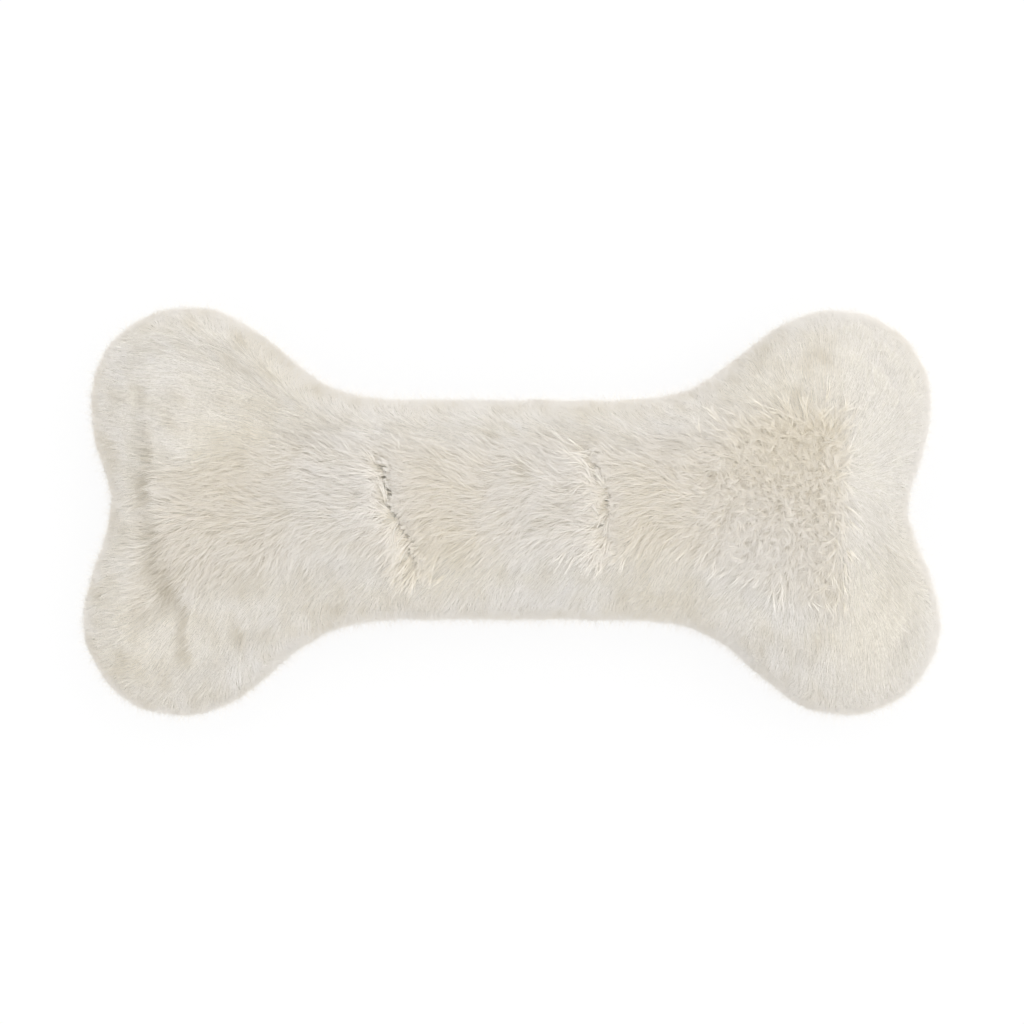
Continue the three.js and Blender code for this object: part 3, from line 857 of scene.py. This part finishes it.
# The back panel's pile, which lies down from the seam and is pressed flat where the toy lies on it
roots, normals = scatter(skin, BACK_HAIRS, on_back)
count = len(roots)
even = np.ones(count)
rim = near_rim(normals)
tilt = np.radians(6 + 20 * rim) + rng.normal(0, 0.05, count)
length = (BACK_LENGTH - 3 * rim) * rng.uniform(0.75, 1.15, count)
width = BACK_WIDTH * rng.uniform(0.8, 1.2, count)
turn = rng.normal(0, 0.2, count)
hairs = lone_hairs(
    roots, normals, leaning_up(normals), back_nap(normals), tilt, length, width, 0.6 * even, turn,
    0.05 * even, 0.7 * even, even)
back_fur = in_bands(["back_left_fur", "back_right_fur"], roots[:, 0], hairs, pile)

# Broad tufts among it
centres, normals = scatter(skin, BACK_TUFTS, on_back)
count = len(centres)
even = np.ones(count)
tilt = np.radians(13) + rng.normal(0, 0.08, count)
length = BACK_TUFT_LENGTH * rng.uniform(0.75, 1.2, count)
turn = rng.normal(0, 0.25, count)
hairs = tuft_hairs(
    centres, normals, leaning_up(normals), back_nap(normals), tilt, length, BACK_TUFT_RADIUS * even,
    0.5 * even, BACK_TUFT_WIDTH * even, 0.6 * even, turn, 0.1 * even, 0.65 * even, 0.95 * even)
back_fur += in_bands(["back_tufts"], np.repeat(centres[:, 0], TUFT_HAIRS), hairs, pile)


# The breaks in the pile go down into the plush
def cut_breaks(half):
    pick(half)
    bpy.ops.object.mode_set(mode="EDIT")
    bpy.ops.mesh.select_all(action="DESELECT")
    bpy.ops.object.mode_set(mode="OBJECT")
    centres = np.array([polygon.center for polygon in half.data.polygons]) / MM
    ahead, opened = before_break(centres)
    near = (opened > 0.05) & (np.abs(ahead) < 4) & (centres[:, 2] > SEAM_HEIGHT / MM)
    half.data.polygons.foreach_set("select", near)
    bpy.ops.object.mode_set(mode="EDIT")
    bpy.ops.mesh.subdivide(number_cuts=2)
    bpy.ops.object.mode_set(mode="OBJECT")
    points = coordinates(half.data) / MM
    ahead, opened = before_break(points)
    depth = BREAK_DEPTH * opened * np.exp(-((ahead + 0.6) / 1.1) ** 2) * (points[:, 2] > SEAM_HEIGHT / MM)
    points[:, 2] -= depth
    place_vertices(half.data, points * MM)


# The plush is divided at the seam, and each half gets its thickness
def plush_half(label, keep_front):
    half = skin.copy()
    half.data = skin.data.copy()
    half.name = label
    half.data.name = label
    scene.collection.objects.link(half)
    if keep_front:
        cut_breaks(half)
    pick(half)
    edit_all()
    bpy.ops.mesh.bisect(
        plane_co=(0, 0, SEAM_HEIGHT), plane_no=(0, 0, 1), clear_inner=keep_front,
        clear_outer=not keep_front)
    bpy.ops.object.mode_set(mode="OBJECT")
    finish_with(half, "SOLIDIFY", thickness=PLUSH_THICKNESS, offset=-1)
    bpy.ops.object.shade_smooth()
    return half


# The plush under the pile is coloured darker and greyer than the hairs, as painted shade of the pile lying
# over it
ground = grainy_material(
    "ground_pile", linear(204, 199, 187), linear(218, 213, 201), 220, 0.85, 0.15, 0.6, 900)
front_plush = plush_half("front_plush", True)
back_plush = plush_half("back_plush", False)
bpy.data.objects.remove(skin)
for piece in (front_plush, back_plush):
    piece.data.materials.append(ground)


def follow_squeeze(piece):
    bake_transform(piece)


follow_squeeze(front_plush)
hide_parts("front_fur_panel")
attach(back_plush, "back_half")
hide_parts("back_fur_panel")
for piece in front_fur:
    follow_squeeze(piece)
for piece in back_fur:
    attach(piece, "back_half")
for piece in [front_plush, back_plush] + front_fur + back_fur:
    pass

# Handfuls of stuffing fibre: a little plumper than the solids, uneven, and flat where two of them meet
fibre = grainy_material(
    "stuffing_fibre", linear(228, 229, 230), linear(246, 246, 245), 260, 0.8, 0.2, 0.9, 1400)
FILL_VOXEL = 4 * MM
FILL_SMOOTHING = 3
FILL_SWELL = 1.5 * MM
FILL_FRAMES = 8


def stuffing(name):
    low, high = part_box(name)
    piece = copy_nodes([name], "soft_" + name)
    remesh(piece, FILL_VOXEL)
    finish_with(piece, "SMOOTH", iterations=FILL_SMOOTHING)
    swell(piece, FILL_SWELL, FILL_SWELL, FILL_FRAMES)
    finish_with(piece, "SUBSURF", levels=1, render_levels=1)
    points = coordinates(piece.data) / MM
    lumps = 0.7 * drift(points, 16, 31) + 0.4 * drift(points, 7, 32)
    points += vertex_normals(piece.data) * lumps[:, None]
    place_vertices(piece.data, np.clip(points * MM, np.array(low), np.array(high)))
    bpy.ops.object.shade_smooth()
    piece.data.materials.append(fibre)
    if name == "front_centre_fill":
        follow_squeeze(piece)
    else:
        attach(piece, "back_half")
        if name != "back_centre_fill":
            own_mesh(piece)
    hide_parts(name)


for name in sorted(nodes):
    if name.endswith("_fill"):
        stuffing(name)

# The squeaker's bulb, in millimetres: a soft blown drum with a fold round its middle and a neck for the plug
BULB_WALL = 1.2
BULB_EDGE = 5
BULB_FOLD = 2.5
BULB_FOLD_HEIGHT = 7
BULB_NECK = 6
BULB_NECK_HEIGHT = 5
EDGE_STEPS = 8
FOLD_STEPS = 12
SPIN_STEPS = 72


def drum_side(radius, edge, base, top):
    middle = (base + top) / 2
    side = []
    for step in range(EDGE_STEPS + 1):
        turn = math.radians(90 - 90 * step / EDGE_STEPS)
        side.append((radius - BULB_EDGE + edge * math.cos(turn), top - BULB_EDGE + edge * math.sin(turn)))
    for step in range(FOLD_STEPS + 1):
        share = step / FOLD_STEPS
        dip = BULB_FOLD * (0.5 - 0.5 * math.cos(math.tau * share)) ** 1.5
        side.append((radius - dip - BULB_EDGE + edge, middle + BULB_FOLD_HEIGHT * (0.5 - share)))
    for step in range(EDGE_STEPS + 1):
        turn = math.radians(-90 * step / EDGE_STEPS)
        side.append((radius - BULB_EDGE + edge * math.cos(turn), base + BULB_EDGE + edge * math.sin(turn)))
    return side


def squeaker():
    low, high = np.array(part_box("squeaker_bulb")) / MM
    centre = (low + high) / 2
    radius = (high[0] - low[0]) / 2
    base, top = low[2], high[2]
    outer = drum_side(radius, BULB_EDGE, base, top)
    inner = drum_side(radius, BULB_EDGE - BULB_WALL, base, top)
    neck_top = base + BULB_NECK_HEIGHT
    neck = [(BULB_NECK, base), (BULB_NECK, neck_top), (BULB_NECK + BULB_WALL, neck_top),
            (BULB_NECK + BULB_WALL, base + BULB_WALL)]
    profile = [(0, top)] + outer + neck + inner[::-1] + [(0, top - BULB_WALL)]
    bpy.ops.mesh.primitive_plane_add(size=0.01)
    bulb = bpy.context.object
    bulb.name = "soft_squeaker_bulb"
    mesh = bulb.data
    edit_all()
    bpy.ops.mesh.delete(type="VERT")
    bpy.ops.object.mode_set(mode="OBJECT")
    mesh.vertices.add(len(profile))
    place_vertices(mesh, np.array([(centre[0] + out, centre[1], up) for out, up in profile]) * MM)
    mesh.edges.add(len(profile) - 1)
    links = np.stack([np.arange(len(profile) - 1), np.arange(1, len(profile))], axis=1)
    mesh.edges.foreach_set("vertices", links.ravel())
    edit_all()
    bpy.ops.mesh.spin(
        steps=SPIN_STEPS, angle=math.tau, center=(centre[0] * MM, centre[1] * MM, 0), axis=(0, 0, 1))
    bpy.ops.mesh.select_all(action="SELECT")
    bpy.ops.mesh.remove_doubles(threshold=1e-6)
    bpy.ops.mesh.normals_make_consistent(inside=False)
    bpy.ops.object.mode_set(mode="OBJECT")
    bpy.ops.object.shade_smooth_by_angle(angle=math.radians(50))
    mesh.materials.append(grainy_material(
        "waxy_bulb", linear(219, 225, 230), linear(230, 235, 238), 90, 0.42, 0.5, 0.15, 500))
    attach(bulb, "back_half")
    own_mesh(bulb)
    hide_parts("squeaker_bulb")


squeaker()

# Seam threads, in millimetres: two twisted plies along each thread's solid, from one end of the stuffing gap
PLY_RADIUS = 0.21
PLY_OFFSET = 0.18
PLY_TURN = 3.2
PLY_STEP = 0.8
THREAD_STARTS = {"perimeter_seam_thread": (34.8, -26.8), "closing_seam_thread": (-35.5, -26.8)}
spun = grainy_material(
    "spun_thread", linear(221, 212, 195), linear(238, 230, 214), 900, 0.8, 0.2, 0.8, 3000)


# The middles of a thread's rings, walked from one end to the other
def thread_line(name):
    points = np.unique((coordinates(nodes[name].data) / MM).round(2), axis=0)
    tops = points[points[:, 2] > points[:, 2].max() - 0.05]
    apart = np.linalg.norm(tops[:, None] - tops[None], axis=2) + np.eye(len(tops)) * 1e6
    middles = np.unique(((tops + tops[apart.argmin(1)]) / 2).round(3), axis=0)
    middles[:, 2] = points[:, 2].mean()
    apart = np.linalg.norm(middles[:, None] - middles[None], axis=2)
    here = int(np.argmin(np.linalg.norm(middles[:, :2] - np.array(THREAD_STARTS[name]), axis=1)))
    walk = [here]
    left = set(range(len(middles))) - {here}
    while left:
        here = min(left, key=lambda other: apart[here, other])
        left.discard(here)
        walk.append(here)
    return middles[walk]


def twisted_thread(name):
    line = thread_line(name)
    along = np.append(0, np.cumsum(np.linalg.norm(np.diff(line, axis=0), axis=1)))
    steps = np.arange(0, along[-1], PLY_STEP)
    middle = np.stack([np.interp(steps, along, line[:, axis]) for axis in range(3)], axis=1)
    heading = unit(np.gradient(middle, axis=0))
    aside = np.stack([-heading[:, 1], heading[:, 0], np.zeros(len(steps))], axis=1)
    plies = []
    for start in (0, math.pi):
        turn = steps / PLY_TURN * math.tau + start
        around = np.cos(turn)[:, None] * aside + np.sin(turn)[:, None] * np.array([0, 0, 1])
        ply = middle + PLY_OFFSET * around
        curve = bpy.data.curves.new("ply", "CURVE")
        curve.dimensions = "3D"
        spline = curve.splines.new("POLY")
        spline.points.add(len(ply) - 1)
        spline.points.foreach_set("co", np.append(ply * MM, np.ones((len(ply), 1)), axis=1).ravel())
        curve.bevel_depth = PLY_RADIUS * MM
        curve.bevel_resolution = 1
        curve.use_fill_caps = True
        obj = bpy.data.objects.new("ply", curve)
        scene.collection.objects.link(obj)
        plies.append(obj)
    pick(*plies)
    bpy.ops.object.convert(target="MESH")
    bpy.ops.object.join()
    thread = bpy.context.view_layer.objects.active
    thread.name = "twisted_" + name
    bpy.ops.object.shade_smooth()
    thread.data.materials.clear()
    thread.data.materials.append(spun)
    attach(thread, "back_half")
    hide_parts(name)


for name in THREAD_STARTS:
    twisted_thread(name)

# The reed's parts keep their solids
moulded = grainy_material(
    "moulded_white", linear(240, 240, 236), linear(249, 249, 246), 140, 0.25, 0.5, 0.1, 700)
film = grainy_material(
    "amber_film", linear(208, 172, 92), linear(222, 188, 112), 400, 0.35, 0.5, 0.1, 1500)
for name in ("reed_sleeve", "reed_block", "reed_wedge", "reed_tongue"):
    nodes[name].data.materials.clear()
    nodes[name].data.materials.append(film if name == "reed_tongue" else moulded)
